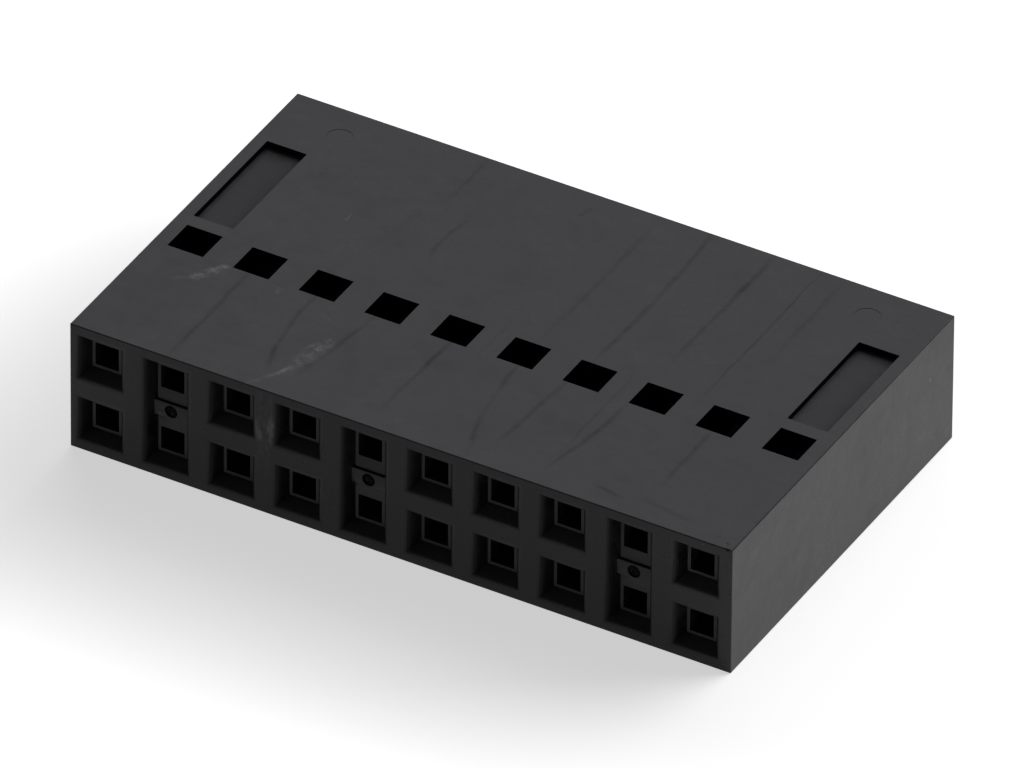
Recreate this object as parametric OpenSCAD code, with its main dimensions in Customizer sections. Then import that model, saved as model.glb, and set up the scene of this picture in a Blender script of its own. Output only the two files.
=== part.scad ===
// Crimp connector housing: a one-piece black moulding that holds two rows of
// crimped socket contacts on one square grid.
//
// The housing stands on its flat underside. X runs along the columns of contacts,
// Y runs from the mating face (the lowest Y) to the wire side, and Z is up. The
// origin is at the middle of the underside. All sizes are in millimetres.

/* [Contact grid] */
// Number of contact columns
columns = 10; // [2:1:20]
// Distance between neighbouring columns
pitch = 2.54; // [2.5:0.01:3.96]
// Distance between the two rows
row_pitch = 2.54; // [2.5:0.01:3.3]

/* [Body] */
// From the centre of an outer column to the end face beside it
end_margin = 1.27; // [1.2:0.01:3]
// From the centre of a row to the large face beside it
row_cover = 1.27; // [1.2:0.01:2]
// From the mating face to the wire side
body_d = 15.24; // [14.5:0.02:20]
// Rounding of the outer edges
edge_r = 0.04; // [0.02:0.01:0.25]

/* [Pin entries] */
// Side of the square mouth in the mating face
mouth_w = 1.74; // [1.4:0.01:1.9]
// Side of the square floor at the foot of the funnel
floor_w = 1.13; // [1:0.01:1.3]
// Depth of the funnel, from the mating face to its floor
funnel_depth = 0.48; // [0.3:0.01:0.8]
// Rounding of the mouth's edges
lip_r = 0.25; // [0.02:0.01:0.3]
// Side of the square pin hole
pin_hole_w = 0.89; // [0.7:0.01:0.95]
// Thickness of the wall that the pin hole goes through
pin_wall = 1.1; // [0.6:0.05:2]
// How far the entries lie to the left of their columns
entry_shift = 0.11; // [0:0.01:0.15]

/* [Gate recesses] */
// Columns whose two entries share one tall recess, counted from 0 at the left
gate_columns = [1, 4, 8];
// Height of the bar that crosses the middle of the recess
bar_h = 0.63; // [0.5:0.01:0.8]
// How far the bar stands up from the recess floor
bar_rise = 0.115; // [0.05:0.005:0.2]
// Diameter of the gate mark in the bar
gate_mark_d = 0.49; // [0.3:0.01:0.6]
// Depth of the gate mark
gate_mark_depth = 0.1; // [0.05:0.01:0.2]

/* [Contact channels] */
// Width of a channel
channel_w = 1.7; // [1.5:0.05:1.9]
// Height of a channel
channel_h = 1.5; // [1.4:0.05:1.7]
// Width of the wire entry in the rear face
wire_entry_w = 1.95; // [1.9:0.05:2.2]
// Height of the wire entry in the rear face
wire_entry_h = 1.95; // [1.7:0.05:2.1]
// Length of the taper from the wire entry down to the channel
lead_in = 0.6; // [0.3:0.05:1.5]
// Rounding of the wire entry's edges
wire_lip_r = 0.08; // [0.02:0.01:0.12]

/* [Locking windows] */
// Width of a window, across the channel
window_w = 1.38; // [1:0.02:1.5]
// Length of a window, along the channel
window_l = 1.34; // [1:0.02:2]
// From the mating face to the near edge of a window
window_start = 5.48; // [4:0.01:7]

/* [Marking pockets] */
// Width of a pocket
pocket_w = 1.55; // [1.2:0.05:1.8]
// Length of a pocket
pocket_l = 4.95; // [2:0.05:6]
// Depth of a pocket
pocket_depth = 0.24; // [0.1:0.01:0.3]
// From the far edge of a window to the near edge of a pocket
pocket_gap = 0.56; // [0.3:0.01:1]

/* [Ejector marks] */
// Diameter of an ejector pin mark
ejector_d = 0.97; // [0.5:0.01:1.5]
// Depth of an ejector pin mark
ejector_depth = 0.01; // [0.005:0.005:0.05]
// From the end face to the centre of a mark
ejector_from_end = 2.51; // [1.5:0.01:4]
// From the rear face to the centre of a mark
ejector_from_rear = 1.52; // [1:0.01:3]

/* [Hidden] */
housing_colour = "#262628";
curve_steps = 48;
lip_steps = 4;
// A cutter runs past the surface that it opens by this much
overrun = 0.05;

body_w = (columns - 1) * pitch + 2 * end_margin;
body_h = row_pitch + 2 * row_cover;
front_y = -body_d / 2;
rear_y = body_d / 2;
shoulder_y = front_y + funnel_depth + pin_wall;
window_y = front_y + window_start + window_l / 2;
pocket_y = front_y + window_start + window_l + pocket_gap + pocket_l / 2;
row_z = [body_h / 2 - row_pitch / 2, body_h / 2 + row_pitch / 2];

function column_x(i) = (i - (columns - 1) / 2) * pitch;
function entry_x(i) = column_x(i) - entry_shift;
function is_gate(i) = len(search(i, gate_columns)) > 0;

// A rectangle with round corners, centred on the origin
module rounded_rect(w, h, r) {
    square([w - 2 * r, h], center = true);
    square([w, h - 2 * r], center = true);
    for (x = [-1, 1], y = [-1, 1])
        translate([x * (w / 2 - r), y * (h / 2 - r)])
            circle(r, $fn = curve_steps);
}

// The outer block, rounded along all of its edges
module body_block() {
    translate([0, 0, body_h / 2])
        intersection() {
            linear_extrude(body_h, center = true) rounded_rect(body_w, body_d, edge_r);
            rotate([90, 0, 0])
                linear_extrude(body_d, center = true) rounded_rect(body_w, body_h, edge_r);
            rotate([90, 0, 90])
                linear_extrude(body_w, center = true) rounded_rect(body_d, body_h, edge_r);
        }
}

// The right half of a tapered opening's outline, from just outside the face at y = 0
// down to its floor, with the edge at the face rounded by r
function half_outline(open_w, shut_w, depth, r) = let(
    slope = atan((open_w - shut_w) / 2 / depth),
    turn = 90 - slope,
    edge_x = open_w / 2 + r * tan(turn / 2)
) [
    [edge_x, -overrun],
    for (step = [0:lip_steps]) let(a = turn * step / lip_steps)
        [edge_x - r * sin(a), r - r * cos(a)],
    [shut_w / 2, depth]
];

function mirrored(half) = [for (i = [len(half) - 1:-1:0]) [-half[i][0], half[i][1]]];

// A wedge along Z whose outline tapers along +Y
module wedge(open_w, shut_w, depth, length, r) {
    half = half_outline(open_w, shut_w, depth, r);
    linear_extrude(length, center = true) polygon(concat(half, mirrored(half)));
}

// A four-sided funnel along +Y, open at y = 0 with its edges there rounded by r; sizes are
// [width, height]
module funnel(open_size, shut_size, depth, r) {
    intersection() {
        wedge(open_size[0], shut_size[0], depth, 2 * open_size[1], r);
        rotate([0, 90, 0]) wedge(open_size[1], shut_size[1], depth, 2 * open_size[0], r);
    }
}

// The funnel that leads a pin into its hole; stretch makes it taller than it is wide
module pin_funnel(stretch = 0) {
    funnel([mouth_w, mouth_w + stretch], [floor_w, floor_w + stretch], funnel_depth, lip_r);
}

// The tall recess over both rows of one column, with its bar and the gate mark
module gate_recess() {
    difference() {
        pin_funnel(row_pitch);
        translate([-mouth_w, funnel_depth - bar_rise, -bar_h / 2])
            cube([2 * mouth_w, 2 * bar_rise, bar_h]);
    }
    translate([0, funnel_depth - bar_rise - overrun, 0])
        rotate([-90, 0, 0])
            cylinder(d = gate_mark_d, h = gate_mark_depth + overrun, $fn = curve_steps);
}

module pin_hole() {
    translate([-pin_hole_w / 2, funnel_depth - overrun, -pin_hole_w / 2])
        cube([pin_hole_w, pin_wall + 2 * overrun, pin_hole_w]);
}

// The channel that holds one contact, open at the rear face
module channel() {
    translate([-channel_w / 2, shoulder_y, -channel_h / 2])
        cube([channel_w, rear_y - shoulder_y, channel_h]);
    translate([0, rear_y, 0])
        mirror([0, 1, 0])
            funnel([wire_entry_w, wire_entry_h], [channel_w, channel_h], lead_in, wire_lip_r);
}

// The window over one channel; side is 1 for the top face and -1 for the underside
module window(side) {
    reach = body_h / 2 + overrun - row_pitch / 2;
    translate([0, window_y, side * reach / 2])
        cube([window_w, window_l, reach], center = true);
}

module pocket() {
    translate([-pocket_w / 2, pocket_y - pocket_l / 2, body_h - pocket_depth])
        cube([pocket_w, pocket_l, pocket_depth + overrun]);
}

module ejector_mark() {
    translate([0, rear_y - ejector_from_rear, body_h - ejector_depth])
        cylinder(d = ejector_d, h = ejector_depth + overrun, $fn = curve_steps);
}

module housing() {
    color(housing_colour)
        difference() {
            body_block();
            for (i = [0:columns - 1]) {
                for (row = [0, 1]) {
                    translate([entry_x(i), front_y, row_z[row]]) {
                        if (!is_gate(i)) pin_funnel();
                        pin_hole();
                    }
                    translate([column_x(i), 0, row_z[row]]) {
                        channel();
                        window(2 * row - 1);
                    }
                }
                if (is_gate(i)) translate([entry_x(i), front_y, body_h / 2]) gate_recess();
            }
            for (i = [0, columns - 1]) translate([column_x(i), 0, 0]) pocket();
            for (side = [-1, 1])
                translate([side * (body_w / 2 - ejector_from_end), 0, 0]) ejector_mark();
        }
}

housing();
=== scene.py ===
import math

import bmesh
import bpy
from bpy.props import FloatProperty, FloatVectorProperty, PointerProperty
from mathutils import Matrix, Vector


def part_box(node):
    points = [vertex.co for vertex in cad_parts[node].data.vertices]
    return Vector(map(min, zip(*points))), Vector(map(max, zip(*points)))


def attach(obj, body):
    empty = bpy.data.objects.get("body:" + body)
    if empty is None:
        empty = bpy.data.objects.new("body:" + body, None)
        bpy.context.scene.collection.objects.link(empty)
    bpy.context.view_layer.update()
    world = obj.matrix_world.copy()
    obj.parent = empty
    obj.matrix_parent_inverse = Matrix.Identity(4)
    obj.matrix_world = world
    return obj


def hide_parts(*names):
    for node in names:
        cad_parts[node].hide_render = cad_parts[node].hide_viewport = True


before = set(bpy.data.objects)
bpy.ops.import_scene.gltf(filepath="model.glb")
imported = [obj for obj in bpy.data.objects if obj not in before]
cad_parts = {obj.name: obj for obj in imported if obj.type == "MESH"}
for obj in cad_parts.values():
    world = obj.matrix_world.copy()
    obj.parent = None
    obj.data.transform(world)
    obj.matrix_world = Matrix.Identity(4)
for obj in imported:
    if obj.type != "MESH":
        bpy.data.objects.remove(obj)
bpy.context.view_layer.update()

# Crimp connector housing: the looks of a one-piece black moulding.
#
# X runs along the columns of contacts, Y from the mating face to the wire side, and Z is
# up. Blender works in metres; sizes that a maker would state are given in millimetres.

bl_info = {
    "name": "Crimp connector housing",
    "version": (1, 0, 0),
    "blender": (4, 5, 0),
    "location": "3D View > Sidebar > Housing",
    "description": "Dresses a moulded crimp connector housing and sets up its studio",
    "category": "Object",
}

MM = 0.001
LOW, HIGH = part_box("housing")
MIDDLE_Z = (LOW.z + HIGH.z) / 2

# Sizes of the part that the finish and its painted shade and light follow
COLUMNS = 10
PITCH = 2.54 * MM
ENTRY_SHIFT = 0.11 * MM
FUNNEL_DEPTH = 0.48 * MM
BAR_RISE = 0.115 * MM
POCKET_DEPTH = 0.24 * MM
# The middles (x, z) of the gate marks, in the entries of three of the columns, and their
# radius
GATES = [((column - (COLUMNS - 1) / 2) * PITCH - ENTRY_SHIFT, MIDDLE_Z)
         for column in (1, 4, 8)]
GATE_RADIUS = 0.245 * MM

# Two corners closer together than TOUCHING are one, and than NEAR are level
TOUCHING = 0.001 * MM
NEAR = 0.002 * MM
# How far off a large face, an end face or the front a place still counts as on it
SKIN = 0.01 * MM
END_SKIN = 0.1 * MM
FRONT_SKIN = 0.03 * FUNNEL_DEPTH
TO_LARGE_FACE = HIGH.z - MIDDLE_Z - SKIN
# How far from the front and rear faces the polished shafts, darkened with painted shade, start
SHAFT_START = 1 * MM
# A funnel's lip is dull down to the first depth and shiny from the second
LIP_DULL = 0.06 * MM
LIP_SHINY = 0.22 * MM
# The Y of a normal that still faces the front, and of one that has turned away
FACES_FRONT = -0.995
TURNED_AWAY = -0.92
# Faces that turn by less than FLAT are one face, and by less than SMOOTH are shaded as one
FLAT = math.radians(0.5)
SMOOTH = math.radians(32)
# Only edges that turn sharper and run longer than this are broken
SHARP = math.radians(60)
SHORTEST = 0.3 * MM
# How much rounder a bar's edges are than a pin hole's
BAR_ROUNDER = 2.5

# How far normals lean where a surface isn't quite flat: the funnels' left walls to the
# right, the walls of pockets, windows and channels to the front, and the pockets' floors
# in X and Y
LEFT_WALL_LEAN = 0.38
SHAFT_LEAN = 0.7
POCKET_LEAN = (0.05, -0.08)

# Widths of the plastic's patterns: slow and quick changes of gloss, the gaps in a rub, and
# the glass fibres in a rub and in a torn gate. Real fibres are about 0.01 mm thick, too
# fine to show, so they are drawn coarser.
CLOUD = 2.5 * MM
MOTTLE = 0.4 * MM
BLOTCH = 0.3 * MM
FIBRE = 0.06 * MM
TORN_FIBRE = 0.1 * MM
# Depths of the spark-eroded dents and of the torn gates' roughness
DENT_DEPTH = 0.024 * MM
TORN_DEPTH = 0.12 * MM
# How far apart a drawn line's bends lie, and how wide they swing
BEND_SPACING = 1.2 * MM
BEND_WIDTH = 0.22 * MM
# The higher this is, the shorter the faded ends of a drawn line. At 5 each takes about a
# quarter of its length.
END_SHARPNESS = 5.0

# The plastic's index of refraction
PLASTIC_IOR = 1.45

# The torn gates' stubs: thickness as a share of the width, how far the middle lies behind
# the bar's face, the width and height of the lumps, and the turn from one stub to the next
STUB_THICKNESS = 0.3
STUB_SET_BACK = 0.33 * GATE_RADIUS
LUMP_WIDTH = 0.12 * MM
LUMP_HEIGHT = 0.07 * MM
STUB_TURN = math.radians(115)

# Weld lines, where the melt's fronts met round the cores: start and end (x, y), how far the
# middle bows in +X, its share of the full width, and strength. In millimetres, from the
# middle of the top face.
WELD_LINES = (
    ((-8.95, -1.22), (-8.95, -7.69), 0.0, 1.0, 0.84),
    ((-6.26, -1.39), (-5.6, -6.8), -0.35, 1.0, 1.5),
    ((-4.02, -1.57), (-4.86, -7.11), 0.09, 1.0, 0.83),
    ((-1.13, -1.34), (-1.35, -7.02), 0.0, 1.0, 1.0),
    ((1.45, -1.24), (2.51, -7.58), -0.33, 1.0, 0.95),
    ((3.31, -1.4), (2.88, -6.68), 0.05, 1.0, 0.8),
    ((5.68, -1.35), (4.98, -7.02), 0.21, 1.0, 1.2),
    ((5.06, -0.48), (5.06, -5.89), 0.0, 0.5, 0.7),
    ((8.86, -1.54), (8.86, -5.9), 0.0, 1.0, 0.75),
    ((0.02, 0.12), (0.02, -2.65), 0.0, 0.5, 0.4),
    ((-5.76, 5.62), (-6.88, -1.11), 0.38, 1.0, 0.3),
    ((-5.2, 7.84), (-5.2, 4.28), 0.0, 1.0, 0.4),
    ((-4.02, 4.22), (-4.14, 1.45), -0.21, 1.0, 1.25),
    ((-0.77, 6.9), (-1.03, 6.11), 0.0, 1.0, 0.75),
    ((1.39, 8.22), (1.29, -1.15), 0.14, 1.0, 0.5),
    ((3.34, 8.22), (3.44, -1.15), 0.21, 1.0, 1.35),
    ((5.88, 8.44), (5.76, 0.26), 0.0, 1.0, 1.15),
    ((7.68, 8.62), (7.63, -1.41), 0.0, 0.5, 0.9),
    ((8.57, 7.68), (8.62, 1.87), 0.0, 1.0, 0.45),
    ((-9.65, 4.54), (-9.65, 3.62), 0.0, 1.0, 0.28),
    ((6.75, -6.61), (8.21, -6.87), 0.0, 1.0, 0.75),
    ((8.69, -6.54), (11.07, -6.93), 0.0, 1.0, 0.55),
)
# Rubs and scratches: start and end (x, y, z), how far the middle bows in +X, half width and
# strength. In millimetres, from the middle of the underside.
RUBS = (
    # A rub between the first two windows
    ((-10.55, -3.45, 5.08), (-9.95, -2.45, 5.08), 0.0, 0.27, 0.75),
    ((-10.08, -2.65, 5.08), (-9.7, -2.05, 5.08), 0.0, 0.2, 0.7),
    ((-11.1, -3.75, 5.08), (-10.3, -3.1, 5.08), 0.0, 0.12, 0.3),
    ((-10.6, -3.4, 5.08), (-9.6, -2.2, 5.08), 0.0, 0.3, 0.14),
    # Faint ones between the second window and the third
    ((-7.75, -2.3, 5.08), (-7.5, -2.75, 5.08), 0.0, 0.16, 0.25),
    ((-7.5, -2.9, 5.08), (-7.3, -3.3, 5.08), 0.0, 0.12, 0.2),
    ((-7.66, 2.6, 5.08), (-7.66, 1.9, 5.08), 0.0, 0.06, 0.25),
    # A rub that runs over the front edge and down a rib
    ((-5.0, -5.9, 5.08), (-4.6, -3.9, 5.08), 0.0, 0.45, 0.34),
    ((-5.15, -6.7, 5.08), (-4.9, -5.2, 5.08), 0.0, 0.28, 0.3),
    ((-5.95, -7.7, 5.08), (-5.05, -6.1, 5.08), 0.0, 0.13, 0.42),
    ((-5.3, -6.6, 5.08), (-5.05, -5.9, 5.08), 0.0, 0.1, 0.3),
    ((-4.95, -5.4, 5.08), (-4.7, -4.2, 5.08), 0.0, 0.1, 0.4),
    ((-5.2, -5.1, 5.08), (-5.0, -4.4, 5.08), 0.0, 0.1, 0.25),
    ((-4.7, -5.0, 5.08), (-4.5, -4.0, 5.08), 0.0, 0.08, 0.35),
    ((-4.84, -3.3, 5.08), (-4.75, -4.3, 5.08), 0.05, 0.08, 0.12),
    ((-5.95, -2.75, 5.08), (-4.84, -3.3, 5.08), 0.0, 0.07, 0.22),
    ((-5.9, -3.5, 5.08), (-4.8, -3.8, 5.08), 0.0, 0.06, 0.12),
    ((-5.25, -7.62, 5.2), (-5.15, -7.62, 1.2), 0.0, 0.4, 0.32),
    ((-5.5, -7.62, 3.95), (-5.32, -7.62, 2.85), 0.0, 0.17, 1.5),
    ((-5.36, -7.62, 3.5), (-5.16, -7.62, 2.55), 0.0, 0.14, 1.7),
    ((-5.15, -7.62, 3.7), (-5.1, -7.62, 2.8), 0.0, 0.1, 1.1),
    ((-4.84, -7.62, 4.25), (-4.94, -7.62, 3.15), 0.0, 0.16, 1.6),
    ((-4.93, -7.62, 3.7), (-5.02, -7.62, 2.7), 0.0, 0.13, 1.5),
    ((-5.35, -7.62, 5.1), (-5.3, -7.62, 3.8), 0.0, 0.12, 0.25),
    ((-4.95, -7.62, 5.0), (-4.9, -7.62, 4.0), 0.0, 0.1, 0.25),
    # A step in the tool, beside the sharpest weld line
    ((7.8, 7.6, 5.08), (7.76, -1.0, 5.08), 0.0, 0.12, 0.03),
    # Chips and specks
    ((-9.47, -7.255, 2.34), (-9.35, -7.255, 2.32), 0.0, 0.06, 1.2),
    ((-9.38, -7.255, 2.26), (-9.28, -7.255, 2.28), 0.0, 0.05, 0.9),
    ((-9.27, -7.255, 2.41), (-9.18, -7.255, 2.39), 0.0, 0.05, 0.9),
    ((-3.14, -7.62, 3.37), (-3.04, -7.62, 3.37), 0.0, 0.06, 0.8),
    ((-3.11, -7.62, 1.33), (-3.01, -7.62, 1.33), 0.0, 0.06, 0.6),
    ((-3.41, -7.62, 2.08), (-3.31, -7.62, 2.08), 0.0, 0.06, 0.5),
    ((11.55, -7.6, 4.95), (11.65, -7.6, 4.95), 0.0, 0.06, 0.6),
    ((12.7, 5.91, 3.44), (12.7, 6.05, 3.44), 0.0, 0.09, 1.4),
)
# Dents and stains that show dark, in the same form
DARK_MARKS = (
    ((12.3, -7.34, 5.08), (12.42, -7.38, 5.08), 0.0, 0.08, 1.0),
    ((12.38, -7.6, 5.03), (12.6, -7.6, 5.03), 0.0, 0.07, 1.0),
    ((6.85, 6.24, 5.08), (6.95, 6.24, 5.08), 0.0, 0.2, 0.15),
    ((11.2, 6.24, 5.08), (11.3, 6.24, 5.08), 0.0, 0.2, 0.12),
    ((12.25, -3.95, 5.08), (12.35, -3.85, 5.08), 0.0, 0.2, 0.12),
    ((12.7, 1.05, 0.55), (12.7, 4.05, 0.79), 0.0, 0.1, 0.08),
)
# The pale curls of torn plastic in the gate marks, in the same form, with y left at 0
CURLS = (
    ((-9.2, 0, 2.5), (-8.98, 0, 2.36), -0.08, 0.035, 1.0),
    ((-8.98, 0, 2.4), (-8.92, 0, 2.52), 0.0, 0.03, 0.5),
    ((-1.4, 0, 2.62), (-1.5, 0, 2.5), 0.0, 0.03, 0.3),
    ((8.68, 0, 2.6), (8.64, 0, 2.45), 0.0, 0.03, 0.2),
)

# Each softbox: its name, its azimuth and elevation in degrees, its width and height in
# metres, its brightness, where 1 shows white, and its colour
SOFTBOXES = (
    ("back_right_softbox", 64, 10, (0.62, 0.36), 6.35, (1.0, 1.0, 1.0)),
    ("high_right_softbox", 50, 40, (0.36, 0.36), 0.98, (1.0, 1.0, 1.0)),
    ("back_softbox", 112, 38, (0.36, 0.36), 0.865, (0.98, 0.97, 1.05)),
)
# The table top's radius in metres, and how far it lies beneath the housing
TABLE_RADIUS = 2.0
TABLE_GAP = 0.01 * MM
# The table top's painted glow changes between these distances from the housing
GLOW_NEAR = 3 * MM
GLOW_FAR = 14 * MM
# How bright the surroundings look, and how bright they are to the housing
BACKDROP = 0.95
SURROUNDINGS = 0.05
# The point that the camera looks at
AIM = Vector((0.0485, -0.0878, 2.4734)) * MM


def linear(hex_colour):
    """The linear red, green, blue and alpha of an sRGB colour written as #rrggbb."""
    shares = [int(hex_colour[i:i + 2], 16) / 255 for i in (1, 3, 5)]
    return [s / 12.92 if s <= 0.04045 else ((s + 0.055) / 1.055) ** 2.4 for s in shares] + [1.0]


def node(tree, kind, links=None, **settings):
    """Adds a node. links maps an input to a value, to a node's output or to a node."""
    made = tree.nodes.new(kind)
    for name, value in settings.items():
        setattr(made, name, value)
    for place, value in (links or {}).items():
        if isinstance(value, bpy.types.Node):
            value = value.outputs[0]
        if isinstance(value, bpy.types.NodeSocket):
            tree.links.new(value, made.inputs[place])
        else:
            made.inputs[place].default_value = value
    return made


class MouldingSizes(bpy.types.PropertyGroup):
    edge_break: FloatProperty(
        name="Edge break", description="Rounding of the edges of the pin holes",
        default=0.015 * MM, min=0.005 * MM, max=0.06 * MM, unit="LENGTH", precision=6)
    grain: FloatProperty(
        name="Grain", description="Width of the largest dents of the spark-eroded texture",
        default=0.9 * MM, min=0.1 * MM, max=2 * MM, unit="LENGTH", precision=6)
    plastic: FloatVectorProperty(
        name="Plastic", description="Colour of the black polyester",
        default=linear("#262628"), size=4, min=0, max=1, subtype="COLOR")
    rubbed: FloatVectorProperty(
        name="Rubbed plastic", description="Colour where a rub has laid bare the glass fibre",
        default=linear("#7c7c80"), size=4, min=0, max=1, subtype="COLOR")
    weld_width: FloatProperty(
        name="Weld line", description="Half the width of a weld line",
        default=0.14 * MM, min=0.01 * MM, max=0.3 * MM, unit="LENGTH", precision=6)


class StudioSettings(bpy.types.PropertyGroup):
    azimuth: FloatProperty(
        name="Azimuth", description="How far the camera stands round to the right",
        default=math.radians(29.375), subtype="ANGLE")
    elevation: FloatProperty(
        name="Elevation", description="How far the camera looks down",
        default=math.radians(36.396), subtype="ANGLE")
    roll: FloatProperty(
        name="Roll", description="Turn of the camera about its own axis",
        default=math.radians(-0.432), subtype="ANGLE")
    distance: FloatProperty(
        name="Distance", description="From the camera to the housing",
        default=0.93226, unit="LENGTH")
    lens: FloatProperty(
        name="Lens", description="Focal length of the camera", default=978.03, unit="CAMERA")
    floor: FloatVectorProperty(
        name="Floor", description="Colour of the table top",
        default=linear("#f4f4f4"), size=4, min=0, max=1, subtype="COLOR")
    # The table top's glow is painted: to the camera it is dimmer by the housing than farther
    # off, and in glossy surfaces it shows only near the housing
    glow: FloatProperty(
        name="Floor glow", description="How bright the lit table top looks by the housing",
        default=0.58, min=0, max=1)
    far_glow: FloatProperty(
        name="Far glow", description="How bright it looks farther off",
        default=0.85, min=0, max=1)
    painted_mirrored_glow: FloatProperty(
        name="Mirrored glow", description="How bright it looks in a glossy surface beside it",
        default=0.31, min=0, max=1)
    lamp_distance: FloatProperty(
        name="Lamp distance", description="From the housing to each softbox",
        default=0.5, min=0.2, max=2, unit="LENGTH")
    lamp_level: FloatProperty(
        name="Lamp level", description="Multiplies the brightness of every softbox",
        default=1.0, min=0, max=4)


def start_clean():
    """Leaves nothing selected, in object mode."""
    if bpy.context.object and bpy.context.object.mode != "OBJECT":
        bpy.ops.object.mode_set(mode="OBJECT")
    bpy.ops.object.select_all(action="DESELECT")


def make_active(piece):
    """Selects one piece alone and makes it the active one."""
    start_clean()
    piece.select_set(True)
    bpy.context.view_layer.objects.active = piece


def apply_modifier(piece, kind, **settings):
    """Adds a modifier with its settings to a piece and applies it."""
    make_active(piece)
    bpy.ops.object.modifier_add(type=kind)
    modifier = piece.modifiers[-1]
    for name, value in settings.items():
        setattr(modifier, name, value)
    bpy.ops.object.modifier_apply(modifier=modifier.name)


def dress(piece, material):
    """Gives a finished piece its material and its body."""
    piece.data.materials.clear()
    piece.data.materials.append(material)
    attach(piece, "root")


def stroke_group():
    """A node group that draws one bowed line and adds it to the lines before it."""
    tree = bpy.data.node_groups.new("stroke", "ShaderNodeTree")
    for name in ("Place", "From", "Run", "Run / length squared", "Bow x 4"):
        tree.interface.new_socket(name, in_out="INPUT", socket_type="NodeSocketVector")
    for name in ("-1 / half width", "Strength", "Others"):
        tree.interface.new_socket(name, in_out="INPUT", socket_type="NodeSocketFloat")
    tree.interface.new_socket("Sum", in_out="OUTPUT", socket_type="NodeSocketFloat")
    given = node(tree, "NodeGroupInput").outputs
    offset = node(tree, "ShaderNodeVectorMath", {0: given["Place"], 1: given["From"]},
                  operation="SUBTRACT")
    along = node(tree, "ShaderNodeVectorMath", {0: offset, 1: given["Run / length squared"]},
                 operation="DOT_PRODUCT").outputs["Value"]
    along = node(tree, "ShaderNodeClamp", {"Value": along})
    left = node(tree, "ShaderNodeMath", {0: 1.0, 1: along}, operation="SUBTRACT")
    swell = node(tree, "ShaderNodeMath", {0: along, 1: left}, operation="MULTIPLY")
    straight = node(tree, "ShaderNodeVectorMath", {0: given["Run"], "Scale": along},
                    operation="SCALE")
    bowed = node(tree, "ShaderNodeVectorMath", {0: given["Bow x 4"], "Scale": swell},
                 operation="SCALE")
    miss = node(tree, "ShaderNodeVectorMath", {0: offset, 1: straight}, operation="SUBTRACT")
    miss = node(tree, "ShaderNodeVectorMath", {0: miss, 1: bowed}, operation="SUBTRACT")
    miss = node(tree, "ShaderNodeVectorMath", {0: miss}, operation="LENGTH").outputs["Value"]
    mask = node(tree, "ShaderNodeMath", {0: miss, 1: given["-1 / half width"], 2: 1.0},
                operation="MULTIPLY_ADD", use_clamp=True)
    ends = node(tree, "ShaderNodeMath", {0: swell, 1: END_SHARPNESS}, operation="MULTIPLY",
                use_clamp=True)
    mask = node(tree, "ShaderNodeMath", {0: mask, 1: ends}, operation="MULTIPLY")
    total = node(tree, "ShaderNodeMath", {0: mask, 1: given["Strength"], 2: given["Others"]},
                 operation="MULTIPLY_ADD")
    node(tree, "NodeGroupOutput", {"Sum": total})
    return tree


def draw_strokes(tree, group, place, strokes):
    """The sum of strokes (start, end, bow, half width and strength, in millimetres)."""
    total = 0.0
    for start, end, bow, half_width, strength in strokes:
        start, end = Vector(start) * MM, Vector(end) * MM
        run = end - start
        total = node(tree, "ShaderNodeGroup", {
            "Place": place, "From": start, "Run": run,
            "Run / length squared": run / run.length_squared,
            "Bow x 4": (4 * bow * MM, 0, 0), "-1 / half width": -1 / (half_width * MM),
            "Strength": strength, "Others": total}, node_tree=group)
    return total


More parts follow.
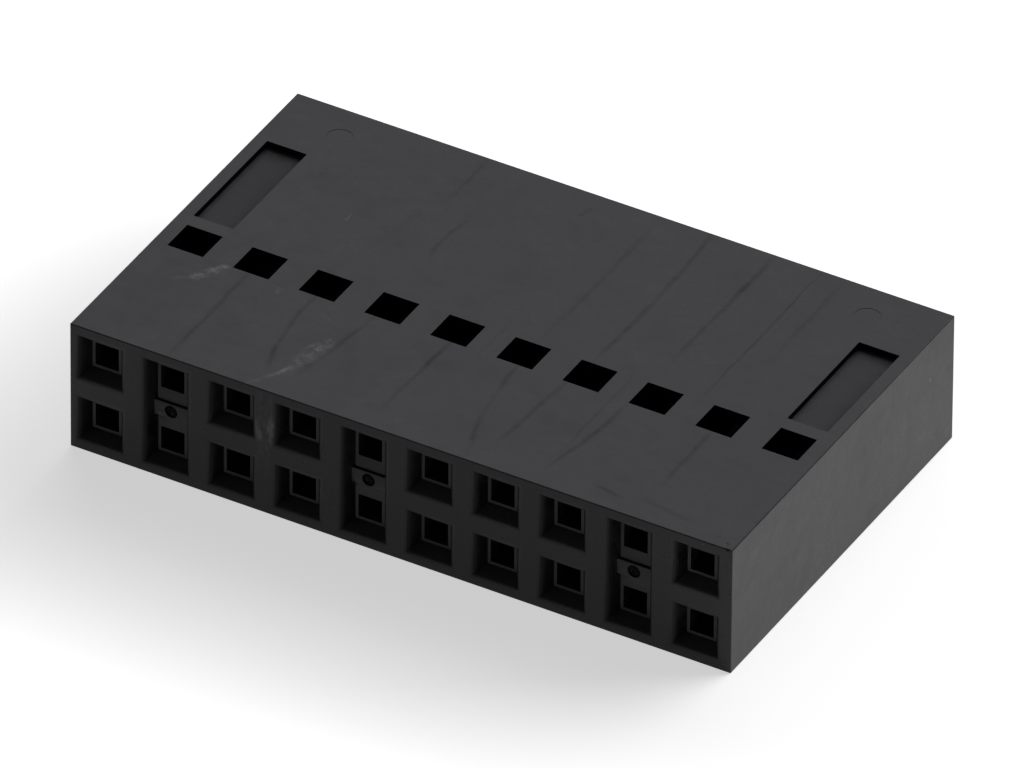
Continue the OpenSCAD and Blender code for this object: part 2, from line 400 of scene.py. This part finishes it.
def find_places(tree, place, facing):
    """Masks of the places where the moulding's gloss, normals and painted shade and light
    differ, each from 0 to 1.
    """
    part = node(tree, "ShaderNodeSeparateXYZ", {0: place}).outputs
    facing = node(tree, "ShaderNodeSeparateXYZ", {0: facing}).outputs
    off_middle = node(tree, "ShaderNodeMath", {0: part["Z"], 1: MIDDLE_Z}, operation="SUBTRACT")
    off_middle = node(tree, "ShaderNodeMath", {0: off_middle}, operation="ABSOLUTE")
    large_face = node(tree, "ShaderNodeMath", {0: off_middle, 1: TO_LARGE_FACE},
                      operation="GREATER_THAN")

    # Clear of the end faces and of the large faces
    between = node(tree, "ShaderNodeMath", {0: off_middle, 1: TO_LARGE_FACE},
                   operation="LESS_THAN")
    inside = node(tree, "ShaderNodeMath", {0: part["X"], 1: 0.0, 2: HIGH.x - END_SKIN},
                  operation="COMPARE")
    inside = node(tree, "ShaderNodeMath", {0: inside, 1: between}, operation="MULTIPLY")

    # The funnels' floors and the bars, which face the front but lie behind it
    half = FUNNEL_DEPTH / 2
    recess = node(tree, "ShaderNodeMath", {0: part["Y"], 1: LOW.y + FRONT_SKIN + half, 2: half},
                  operation="COMPARE")
    floor = node(tree, "ShaderNodeMath", {0: facing["Y"], 1: -1.0, 2: 0.01},
                 operation="COMPARE")
    floor = node(tree, "ShaderNodeMath", {0: floor, 1: recess}, operation="MULTIPLY")

    # The funnels' lips and the walls on their left, down to just past the floor
    funnel = node(tree, "ShaderNodeMath", {0: part["Y"], 1: LOW.y, 2: 1.1 * FUNNEL_DEPTH},
                  operation="COMPARE")
    funnel = node(tree, "ShaderNodeMath", {0: funnel, 1: inside}, operation="MULTIPLY")
    turned = node(tree, "ShaderNodeMapRange",
                  {"Value": facing["Y"], "From Min": FACES_FRONT, "From Max": TURNED_AWAY})
    lip = node(tree, "ShaderNodeMapRange",
               {"Value": part["Y"], "From Min": LOW.y + LIP_DULL, "From Max": LOW.y + LIP_SHINY,
                "To Min": 1.0, "To Max": 0.0})
    lip = node(tree, "ShaderNodeMath", {0: turned, 1: lip}, operation="MULTIPLY")
    lip = node(tree, "ShaderNodeMath", {0: lip, 1: funnel}, operation="MULTIPLY")
    left_wall = node(tree, "ShaderNodeMath", {0: funnel, 1: facing["X"]}, operation="MULTIPLY")
    left_wall = node(tree, "ShaderNodeMath", {0: left_wall, 1: 2.0}, operation="MULTIPLY",
                     use_clamp=True)

    # The rounded edges at the top of the right end face and at the foot of the left one
    edge = node(tree, "ShaderNodeMath", {0: facing["X"], 1: facing["Z"]}, operation="MULTIPLY")
    edge = node(tree, "ShaderNodeMath", {0: edge, 1: 3.0}, operation="MULTIPLY", use_clamp=True)

    # The pockets' floors
    pocket = node(tree, "ShaderNodeMath",
                  {0: part["Z"], 1: HIGH.z - POCKET_DEPTH, 2: 2 * SKIN}, operation="COMPARE")
    upward = node(tree, "ShaderNodeMath", {0: facing["Z"], 1: 1.0, 2: 0.2}, operation="COMPARE")
    pocket = node(tree, "ShaderNodeMath", {0: pocket, 1: upward}, operation="MULTIPLY")

    # The walls of pockets, windows and channels
    upright = node(tree, "ShaderNodeMath", {0: facing["Z"], 1: 0.0, 2: 0.8}, operation="COMPARE")
    deep = node(tree, "ShaderNodeMath", {0: part["Y"], 1: 0.0, 2: HIGH.y - SHAFT_START},
                operation="COMPARE")
    shaft = node(tree, "ShaderNodeMath", {0: upright, 1: deep}, operation="MULTIPLY")
    shaft = node(tree, "ShaderNodeMath", {0: shaft, 1: inside}, operation="MULTIPLY")
    return {"large_face": large_face, "floor": floor, "lip": lip, "left_wall": left_wall,
            "edge": edge, "pocket": pocket, "shaft": shaft}


def draw_marks(tree, place, clouds, large_face, half_width):
    """Masks of the weld lines, the dark marks and the rubs, 0 where the plastic has none.
    half_width is that of a weld line, in millimetres."""
    # Drawn lines wander a little
    bends = node(tree, "ShaderNodeTexNoise",
                 {"Vector": place, "Scale": 1 / BEND_SPACING, "Detail": 4.0})
    bends = node(tree, "ShaderNodeVectorMath", {0: bends.outputs["Color"], 1: (0.5, 0.5, 0.5)},
                 operation="SUBTRACT")
    wander = node(tree, "ShaderNodeVectorMath", {0: bends, 1: (BEND_WIDTH,) * 3, 2: place},
                  operation="MULTIPLY_ADD")
    plan = node(tree, "ShaderNodeVectorMath", {0: wander, 1: (1, 1, 0)}, operation="MULTIPLY")

    group = stroke_group()
    welds = [((*start, 0), (*end, 0), bow, share * half_width, strength)
             for start, end, bow, share, strength in WELD_LINES]
    weld = draw_strokes(tree, group, plan, welds)
    weld = node(tree, "ShaderNodeMath", {0: weld, 1: large_face}, operation="MULTIPLY",
                use_clamp=True)
    plainness = node(tree, "ShaderNodeMapRange",
                     {"Value": clouds, "From Min": 0.4, "From Max": 0.6, "To Min": 0.6,
                      "To Max": 1.2})
    weld = node(tree, "ShaderNodeMath", {0: weld, 1: plainness}, operation="MULTIPLY")

    # Blotches and fibres break up a rub. Rubs on the front run up and down, so there the
    # streaks do too.
    drawn_out = node(tree, "ShaderNodeVectorMath", {0: place, 1: (1, 1, 0.3)},
                     operation="MULTIPLY")
    blotches = node(tree, "ShaderNodeTexNoise",
                    {"Vector": drawn_out, "Scale": 1 / BLOTCH, "Detail": 3.0})
    blotches = node(tree, "ShaderNodeMapRange",
                    {"Value": blotches, "From Min": 0.38, "From Max": 0.62, "To Min": 0.15,
                     "To Max": 1.5})
    fibres = node(tree, "ShaderNodeTexNoise",
                  {"Vector": drawn_out, "Scale": 1 / FIBRE, "Detail": 2.0})
    fibres = node(tree, "ShaderNodeMapRange",
                  {"Value": fibres, "From Min": 0.35, "From Max": 0.65, "To Min": 0.3})
    rub = draw_strokes(tree, group, wander, RUBS)
    rub = node(tree, "ShaderNodeMath", {0: rub, 1: blotches}, operation="MULTIPLY")
    rub = node(tree, "ShaderNodeMath", {0: rub, 1: fibres}, operation="MULTIPLY",
               use_clamp=True)
    dark = draw_strokes(tree, group, wander, DARK_MARKS)
    return {"weld": weld, "dark": dark, "rub": rub}


def lean(tree, normal, at):
    """The normal, turned where a surface isn't quite flat."""
    right, back = POCKET_LEAN
    turn_x = node(tree, "ShaderNodeMath", {0: at["left_wall"], 1: LEFT_WALL_LEAN},
                  operation="MULTIPLY")
    turn_x = node(tree, "ShaderNodeMath", {0: at["pocket"], 1: right, 2: turn_x},
                  operation="MULTIPLY_ADD")
    turn_y = node(tree, "ShaderNodeMath", {0: at["shaft"], 1: -SHAFT_LEAN},
                  operation="MULTIPLY")
    turn_y = node(tree, "ShaderNodeMath", {0: at["pocket"], 1: back, 2: turn_y},
                  operation="MULTIPLY_ADD")
    turn = node(tree, "ShaderNodeCombineXYZ", {0: turn_x, 1: turn_y})
    turned = node(tree, "ShaderNodeVectorMath", {0: normal, 1: turn}, operation="ADD")
    return node(tree, "ShaderNodeVectorMath", {0: turned}, operation="NORMALIZE")


def moulded_polyester():
    """Polyester, glass filled, moulded against a spark-eroded tool: black with a silky,
    slightly uneven gloss that shows mostly where it mirrors something pale. The cores of
    pockets and windows are polished. Painted shade darkens the walls of pockets, windows and
    channels, the funnels' floors, bars and left walls, and the roundings at the end faces'
    edges, and painted light brightens the pockets' floors. Weld lines show on the large faces,
    and rubs and nicks all over."""
    sizes = bpy.context.scene.housing_moulding
    material = bpy.data.materials.new("moulded_glass_filled_polyester")
    material.use_nodes = True
    tree = material.node_tree
    tree.nodes.clear()
    coordinates = node(tree, "ShaderNodeTexCoord").outputs
    place, normal = coordinates["Object"], coordinates["Normal"]
    clouds = node(tree, "ShaderNodeTexNoise",
                  {"Vector": place, "Scale": 1 / CLOUD, "Detail": 6.0, "Roughness": 0.7})
    mottle = node(tree, "ShaderNodeTexNoise",
                  {"Vector": place, "Scale": 1 / MOTTLE, "Detail": 4.0, "Roughness": 0.7})
    mottle = node(tree, "ShaderNodeMapRange",
                  {"Value": mottle, "From Min": 0.3, "From Max": 0.7, "To Min": -1.0})
    at = find_places(tree, place, normal)
    marks = draw_marks(tree, place, clouds, at["large_face"], sizes.weld_width / MM)

    # The pockets' floors are lightened with painted light, and each mask below takes its share
    # of the shade
    shade = node(tree, "ShaderNodeMapRange",
                 {"Value": clouds, "From Min": 0.3, "From Max": 0.7, "To Min": 0.8,
                  "To Max": 1.2})
    painted_pocket_light = node(tree, "ShaderNodeMath", {0: at["pocket"], 1: 0.7, 2: 1.0},
                operation="MULTIPLY_ADD")
    shade = node(tree, "ShaderNodeMath", {0: shade, 1: painted_pocket_light}, operation="MULTIPLY")
    shade = node(tree, "ShaderNodeMath", {0: mottle, 1: 0.2, 2: shade},
                 operation="MULTIPLY_ADD")
    # Weld lines and dark marks darken the plastic's own colour. The rest are painted shade: the
    # funnels' floors and bars, their left walls, the walls of pockets, windows and channels, and
    # the edge roundings are darkened in the colour.
    for mask, loss in ((marks["weld"], 0.9), (marks["dark"], 1.0), (at["floor"], 0.35),
                       (at["left_wall"], 0.5), (at["shaft"], 0.9), (at["edge"], 0.9)):
        kept = node(tree, "ShaderNodeMath", {0: mask, 1: -loss, 2: 1.0},
                    operation="MULTIPLY_ADD", use_clamp=True)
        shade = node(tree, "ShaderNodeMath", {0: shade, 1: kept}, operation="MULTIPLY")
    colour = node(tree, "ShaderNodeVectorMath",
                  {0: tuple(sizes.plastic)[:3], "Scale": shade}, operation="SCALE")
    colour = node(tree, "ShaderNodeVectorMath",
                  {0: tuple(sizes.rubbed)[:3], 1: marks["rub"], 2: colour},
                  operation="MULTIPLY_ADD")

    # Each mask adds its share to the roughness
    rough = node(tree, "ShaderNodeMapRange",
                 {"Value": clouds, "From Min": 0.3, "From Max": 0.7, "To Min": 0.25,
                  "To Max": 0.4})
    for mask, gain in ((mottle, 0.055), (marks["weld"], 0.1), (marks["dark"], 0.3),
                       (marks["rub"], 0.2), (at["pocket"], 0.2), (at["lip"], 0.25),
                       (at["shaft"], -0.22), (at["edge"], 0.5)):
        rough = node(tree, "ShaderNodeMath", {0: mask, 1: gain, 2: rough},
                     operation="MULTIPLY_ADD")

    # Spark-eroded dents, deepest in the dark marks and sharpest in the rubs
    grain = node(tree, "ShaderNodeTexNoise",
                 {"Vector": place, "Scale": 1 / sizes.grain, "Detail": 5.0})
    dented = node(tree, "ShaderNodeMath", {0: marks["dark"], 1: -1.0, 2: grain},
                  operation="MULTIPLY_ADD")
    relief = node(tree, "ShaderNodeMath", {0: marks["rub"], 1: 0.4, 2: 0.6},
                  operation="MULTIPLY_ADD")
    bump = node(tree, "ShaderNodeBump", {"Height": dented, "Distance": DENT_DEPTH,
                                         "Strength": relief, "Normal": lean(tree, normal, at)})
    shader = node(tree, "ShaderNodeBsdfPrincipled",
                  {"Base Color": colour, "Roughness": rough, "IOR": PLASTIC_IOR, "Normal": bump})
    node(tree, "ShaderNodeOutputMaterial", {"Surface": shader})
    return material


class HOUSING_OT_moulded_housing(bpy.types.Operator):
    """Makes the moulded housing, with its edges broken, in place of the plain solid"""
    bl_idname = "housing.moulded_housing"
    bl_label = "Moulded housing"

    def execute(self, context):
        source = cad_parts["housing"]
        piece = bpy.data.objects.new("moulded_housing", source.data.copy())
        context.collection.objects.link(piece)
        make_active(piece)
        bpy.ops.mesh.customdata_custom_splitnormals_clear()
        bpy.ops.object.mode_set(mode="EDIT")
        bpy.ops.mesh.select_all(action="SELECT")
        bpy.ops.mesh.remove_doubles(threshold=TOUCHING)
        bpy.ops.mesh.dissolve_limited(angle_limit=FLAT)
        width = context.scene.housing_moulding.edge_break
        self.break_edges(piece, self.in_funnel_floor, width)
        self.break_edges(piece, self.on_bar, BAR_ROUNDER * width)
        bpy.ops.object.mode_set(mode="OBJECT")
        bpy.ops.object.shade_smooth_by_angle(angle=SMOOTH)
        apply_modifier(piece, "WEIGHTED_NORMAL", keep_sharp=True, weight=100)
        dress(piece, moulded_polyester())
        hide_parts("housing")
        return {"FINISHED"}

    def break_edges(self, piece, wanted, width):
        """Rounds the sharp long edges whose two ends the given test wants."""
        bpy.ops.mesh.select_mode(type="EDGE")
        bpy.ops.mesh.select_all(action="DESELECT")
        mesh = bmesh.from_edit_mesh(piece.data)
        for edge in mesh.edges:
            if edge.calc_face_angle() > SHARP and edge.calc_length() > SHORTEST:
                edge.select_set(all(wanted(end.co) for end in edge.verts))
        bmesh.update_edit_mesh(piece.data)
        bpy.ops.mesh.bevel(offset=width, segments=2, profile=0.5, clamp_overlap=False)

    def in_funnel_floor(self, point):
        """On the rim of a pin hole, in the floor of its funnel."""
        return abs(point.y - (LOW.y + FUNNEL_DEPTH)) < NEAR

    def on_bar(self, point):
        """On the front face of a gate recess's bar."""
        return abs(point.y - (LOW.y + FUNNEL_DEPTH - BAR_RISE)) < NEAR


def torn_polyester():
    """The same polyester where a gate was torn off: dull, dark and fibrous, with painted shade
    darkening its colour in the pits of its relief.
    """
    sizes = bpy.context.scene.housing_moulding
    material = bpy.data.materials.new("torn_glass_filled_polyester")
    material.use_nodes = True
    tree = material.node_tree
    tree.nodes.clear()
    place = node(tree, "ShaderNodeTexCoord").outputs["Object"]
    fibres = node(tree, "ShaderNodeTexNoise",
                  {"Vector": place, "Scale": 1 / TORN_FIBRE, "Detail": 3.0})
    # Painted shade: the colour darkens where the same noise sinks the relief
    shade = node(tree, "ShaderNodeMapRange",
                 {"Value": fibres, "From Min": 0.4, "From Max": 0.65, "To Min": 0.05,
                  "To Max": 1.0})
    colour = node(tree, "ShaderNodeVectorMath",
                  {0: tuple(sizes.plastic)[:3], "Scale": shade}, operation="SCALE")
    flat = node(tree, "ShaderNodeVectorMath", {0: place, 1: (1, 0, 1)}, operation="MULTIPLY")
    curl = draw_strokes(tree, stroke_group(), flat, CURLS)
    colour = node(tree, "ShaderNodeVectorMath",
                  {0: tuple(sizes.rubbed)[:3], 1: curl, 2: colour}, operation="MULTIPLY_ADD")
    bump = node(tree, "ShaderNodeBump",
                {"Height": fibres, "Distance": TORN_DEPTH, "Strength": 1.0})
    shader = node(tree, "ShaderNodeBsdfPrincipled",
                  {"Base Color": colour, "Roughness": 0.75, "IOR": PLASTIC_IOR,
                   "Specular IOR Level": 0.15, "Normal": bump})
    node(tree, "ShaderNodeOutputMaterial", {"Surface": shader})
    return material


class HOUSING_OT_gate_scars(bpy.types.Operator):
    """Fills the three gate marks with the rough stubs of the torn gates"""
    bl_idname = "housing.gate_scars"
    bl_label = "Gate scars"

    def execute(self, context):
        x, z = GATES[0]
        middle = Vector((x, LOW.y + FUNNEL_DEPTH - BAR_RISE + STUB_SET_BACK, z))
        start_clean()
        bpy.ops.mesh.primitive_ico_sphere_add(subdivisions=5, radius=GATE_RADIUS,
                                              location=middle)
        first = context.object
        bpy.ops.object.transform_apply()
        bpy.ops.object.mode_set(mode="EDIT")
        bpy.ops.mesh.select_all(action="SELECT")
        bpy.ops.transform.resize(value=(1.0, STUB_THICKNESS, 1.0), center_override=middle)
        bpy.ops.object.mode_set(mode="OBJECT")
        lumps = bpy.data.textures.new("torn_lumps", type="CLOUDS")
        lumps.noise_scale = LUMP_WIDTH
        apply_modifier(first, "DISPLACE", texture=lumps, texture_coords="LOCAL",
                       strength=LUMP_HEIGHT, mid_level=0.75)
        bpy.ops.object.shade_smooth()
        pieces = [first]
        for number, (x, z) in enumerate(GATES[1:], 1):
            make_active(first)
            bpy.ops.object.duplicate()
            copy = context.object
            bpy.ops.object.mode_set(mode="EDIT")
            bpy.ops.mesh.select_all(action="SELECT")
            bpy.ops.transform.rotate(value=number * STUB_TURN, orient_axis="Y",
                                     center_override=middle)
            bpy.ops.transform.translate(value=(x - middle.x, 0, 0))
            bpy.ops.object.mode_set(mode="OBJECT")
            pieces.append(copy)
        material = torn_polyester()
        for number, piece in enumerate(pieces, 1):
            piece.name = f"gate_scar_{number}"
            dress(piece, material)
        return {"FINISHED"}


class HOUSING_OT_studio(bpy.types.Operator):
    """Sets up the table top, the lamps, the world and the camera"""
    bl_idname = "housing.studio"
    bl_label = "Studio"

    def execute(self, context):
        settings = context.scene.housing_studio
        start_clean()
        bpy.ops.mesh.primitive_circle_add(vertices=96, radius=TABLE_RADIUS, fill_type="NGON",
                                          location=(0, 0, LOW.z - TABLE_GAP))
        floor = context.object
        floor.name = "table_top"
        bpy.ops.object.transform_apply()
        floor.data.materials.append(self.table_with_painted_glow(settings))
        for softbox in SOFTBOXES:
            self.add_softbox(settings, *softbox)
        self.set_world(context)
        self.set_camera(context, settings)
        return {"FINISHED"}

    def table_with_painted_glow(self, settings):
        """A matt white acrylic sheet that glows with painted light: to the camera it is dimmer
        by the housing than farther off, a painted shade round it, and in a glossy surface it
        glows only near the housing."""
        material = bpy.data.materials.new("matt_acrylic_with_painted_glow")
        material.use_nodes = True
        tree = material.node_tree
        tree.nodes.clear()
        cover = node(tree, "ShaderNodeBsdfDiffuse", {"Color": tuple(settings.floor)})
        ray = node(tree, "ShaderNodeLightPath").outputs
        mirrored = node(tree, "ShaderNodeMath",
                        {0: ray["Is Glossy Ray"], 1: ray["Is Transmission Ray"]},
                        operation="MAXIMUM")
        # How far a place lies beyond the edges of the housing
        away = node(tree, "ShaderNodeTexCoord").outputs["Object"]
        away = node(tree, "ShaderNodeVectorMath", {0: away}, operation="ABSOLUTE")
        away = node(tree, "ShaderNodeVectorMath", {0: away, 1: (HIGH.x, HIGH.y, 0)},
                    operation="SUBTRACT")
        away = node(tree, "ShaderNodeVectorMath", {0: away, 1: (0, 0, 0)}, operation="MAXIMUM")
        away = node(tree, "ShaderNodeVectorMath", {0: away}, operation="LENGTH").outputs["Value"]
        # Painted glow, no lamp: the camera sees it dimmer by the housing, a painted shade round
        # it, and glossy rays see it only near the housing, a painted light that the housing
        # mirrors
        level = 0.0
        for viewer, near, far in ((ray["Is Camera Ray"], settings.glow, settings.far_glow),
                                  (mirrored, settings.painted_mirrored_glow, 0.0)):
            seen = node(tree, "ShaderNodeMapRange",
                        {"Value": away, "From Min": GLOW_NEAR, "From Max": GLOW_FAR,
                         "To Min": near, "To Max": far}, interpolation_type="SMOOTHSTEP")
            level = node(tree, "ShaderNodeMath", {0: viewer, 1: seen, 2: level},
                         operation="MULTIPLY_ADD")
        glow = node(tree, "ShaderNodeEmission", {"Strength": level})
        both = node(tree, "ShaderNodeAddShader", {0: cover, 1: glow})
        # From beneath it is clear, so that the housing's underside can be looked at
        clear = node(tree, "ShaderNodeBsdfTransparent")
        beneath = node(tree, "ShaderNodeNewGeometry").outputs["Backfacing"]
        both = node(tree, "ShaderNodeMixShader", {0: beneath, 1: both, 2: clear})
        node(tree, "ShaderNodeOutputMaterial", {"Surface": both})
        return material

    def add_softbox(self, settings, name, azimuth, elevation, size, brightness, colour):
        """Stands a softbox round the housing, facing it. Azimuth turns from +X to +Y."""
        width, height = size
        turn, rise = math.radians(azimuth), math.radians(elevation)
        way = Vector((math.cos(rise) * math.cos(turn), math.cos(rise) * math.sin(turn),
                      math.sin(rise)))
        bpy.ops.object.light_add(type="AREA", location=way * settings.lamp_distance,
                                 rotation=way.to_track_quat("Z", "Y").to_euler())
        lamp = bpy.context.object
        lamp.name = name
        lamp.data.shape = "RECTANGLE"
        lamp.data.color = colour
        lamp.data.size = width
        lamp.data.size_y = height
        lamp.data.energy = math.pi * width * height * brightness * settings.lamp_level

    def set_world(self, context):
        world = bpy.data.worlds.new("studio")
        context.scene.world = world
        world.use_nodes = True
        tree = world.node_tree
        tree.nodes.clear()
        ray = node(tree, "ShaderNodeLightPath").outputs
        level = node(tree, "ShaderNodeMath",
                     {0: ray["Is Camera Ray"], 1: BACKDROP - SURROUNDINGS, 2: SURROUNDINGS},
                     operation="MULTIPLY_ADD")
        air = node(tree, "ShaderNodeBackground", {"Color": (1, 1, 1, 1), "Strength": level})
        node(tree, "ShaderNodeOutputWorld", {"Surface": air})

    def set_camera(self, context, settings):
        azimuth, elevation, roll = settings.azimuth, settings.elevation, settings.roll
        back = Vector((math.sin(azimuth) * math.cos(elevation),
                       -math.cos(azimuth) * math.cos(elevation), math.sin(elevation)))
        right = Vector((math.cos(azimuth), math.sin(azimuth), 0))
        right = right * math.cos(roll) - back.cross(right) * math.sin(roll)
        pose = Matrix((right, back.cross(right), back)).transposed().to_4x4()
        pose.translation = AIM + back * settings.distance
        bpy.ops.object.camera_add()
        camera = context.object
        camera.matrix_world = pose
        camera.data.lens = settings.lens
        camera.data.sensor_width = 36
        camera.data.clip_start = 0.1
        camera.data.clip_end = 10
        context.scene.camera = camera


class HOUSING_PT_panel(bpy.types.Panel):
    bl_label = "Connector housing"
    bl_idname = "HOUSING_PT_panel"
    bl_space_type = "VIEW_3D"
    bl_region_type = "UI"
    bl_category = "Housing"

    def draw(self, context):
        for group in (context.scene.housing_moulding, context.scene.housing_studio):
            for name in group.__annotations__:
                self.layout.prop(group, name)
        for operator in OPERATORS:
            self.layout.operator(operator.bl_idname)


OPERATORS = (HOUSING_OT_moulded_housing, HOUSING_OT_gate_scars, HOUSING_OT_studio)
CLASSES = (MouldingSizes, StudioSettings, *OPERATORS, HOUSING_PT_panel)


def register():
    for each in CLASSES:
        bpy.utils.register_class(each)
    bpy.types.Scene.housing_moulding = PointerProperty(type=MouldingSizes)
    bpy.types.Scene.housing_studio = PointerProperty(type=StudioSettings)


def unregister():
    del bpy.types.Scene.housing_studio
    del bpy.types.Scene.housing_moulding
    for each in reversed(CLASSES):
        bpy.utils.unregister_class(each)


def main():
    register()
    bpy.context.scene.view_settings.view_transform = "Standard"
    bpy.ops.housing.moulded_housing()
    bpy.ops.housing.gate_scars()
    bpy.ops.housing.studio()


if __name__ == "__main__":
    main()
